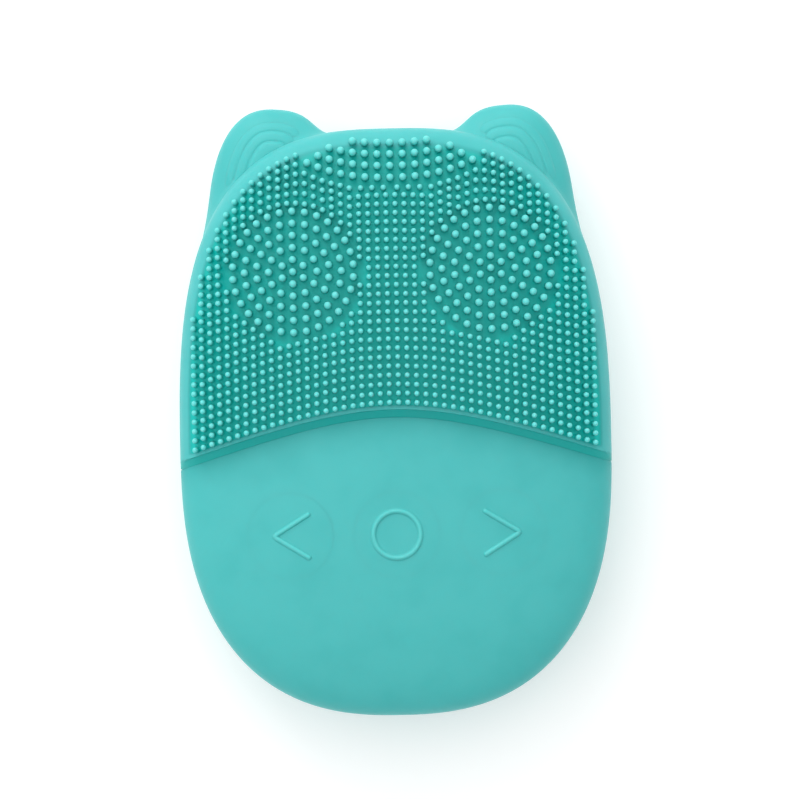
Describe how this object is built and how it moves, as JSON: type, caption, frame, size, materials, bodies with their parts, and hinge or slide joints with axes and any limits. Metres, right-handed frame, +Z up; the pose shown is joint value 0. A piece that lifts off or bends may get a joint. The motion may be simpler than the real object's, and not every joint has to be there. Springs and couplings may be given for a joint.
{
  "type": "facial cleansing brush",
  "caption": "Palm-sized silicone facial cleansing brush with soft bristles, two ear-shaped lobes and a smooth control panel with press keys.",
  "frame": {"origin": "under the middle of the overall box, on the flat of the back that the brush rests on", "axes": "+Z up out of the bristle face, +Y towards the ears, +X to the right of somebody looking down at the bristles"},
  "size_m": [0.067, 0.0948, 0.0278],
  "materials": {
    "silicone": "soft-touch satin, moulded",
    "housing_plastic": "fine moulded texture",
    "seal_rubber": "matte",
    "board": "solder-resist gloss",
    "chip": "moulded epoxy",
    "plunger_plastic": "moulded",
    "switch_case": "moulded",
    "screw_steel": "zinc plated",
    "motor_steel": "drawn, satin",
    "tungsten": "sintered, dull",
    "magnet": "nickel plated",
    "contact_gold": "gold plated",
    "cell_foil": "pouch foil, satin",
    "foam": "closed-cell foam",
    "lead_red": "wire insulation",
    "lead_black": "wire insulation",
    "led_lens": "moulded lens"
  },
  "bodies": {
    "root": {"bristle_cover": "silicone", "control_cover": "silicone", "rear_cover": "silicone", "front_housing": "housing_plastic", "rear_housing": "housing_plastic", "housing_seal": "seal_rubber", "housing_screw_1": "screw_steel", "housing_screw_2": "screw_steel", "housing_screw_3": "screw_steel", "housing_screw_4": "screw_steel", "main_board": "board", "board_screw_1": "screw_steel", "board_screw_2": "screw_steel", "board_screw_3": "screw_steel", "board_screw_4": "screw_steel", "power_switch_case": "switch_case", "minus_switch_case": "switch_case", "plus_switch_case": "switch_case", "microcontroller": "chip", "charge_controller": "chip", "indicator_led": "led_lens", "battery_socket": "plunger_plastic", "motor_socket": "plunger_plastic", "battery_cell": "cell_foil", "battery_pad": "foam", "charge_contact_left": "contact_gold", "dock_magnet_left": "magnet", "charge_contact_right": "contact_gold", "dock_magnet_right": "magnet", "motor_can": "motor_steel", "motor_cradle": "housing_plastic", "motor_clamp": "screw_steel", "clamp_screw_1": "screw_steel", "clamp_screw_2": "screw_steel", "battery_lead_red": "lead_red", "motor_lead_red": "lead_red", "charge_lead_red": "lead_red", "battery_lead_black": "lead_black", "motor_lead_black": "lead_black", "charge_lead_black": "lead_black"},
    "power_button": {"power_key": "silicone", "power_switch_plunger": "plunger_plastic"},
    "minus_button": {"minus_key": "silicone", "minus_switch_plunger": "plunger_plastic"},
    "plus_button": {"plus_key": "silicone", "plus_switch_plunger": "plunger_plastic"},
    "motor_rotor": {"motor_shaft": "motor_steel", "eccentric_weight": "tungsten"}
  },
  "joints": [
    {"name": "power_key_press", "type": "slide", "parent": "root", "child": "power_button", "axis": [0, 0, -1], "range_m": [0, 0.0005], "stiffness_N_per_m": 1500, "springref_m": -0.0005},
    {"name": "minus_key_press", "type": "slide", "parent": "root", "child": "minus_button", "axis": [0, 0, -1], "range_m": [0, 0.0005], "stiffness_N_per_m": 1500, "springref_m": -0.0005},
    {"name": "plus_key_press", "type": "slide", "parent": "root", "child": "plus_button", "axis": [0, 0, -1], "range_m": [0, 0.0005], "stiffness_N_per_m": 1500, "springref_m": -0.0005},
    {"name": "motor_spin", "type": "hinge", "parent": "root", "child": "motor_rotor", "pos_m": [0.009, 0.021, 0.0126], "axis": [1, 0, 0], "continuous": true}
  ]
}
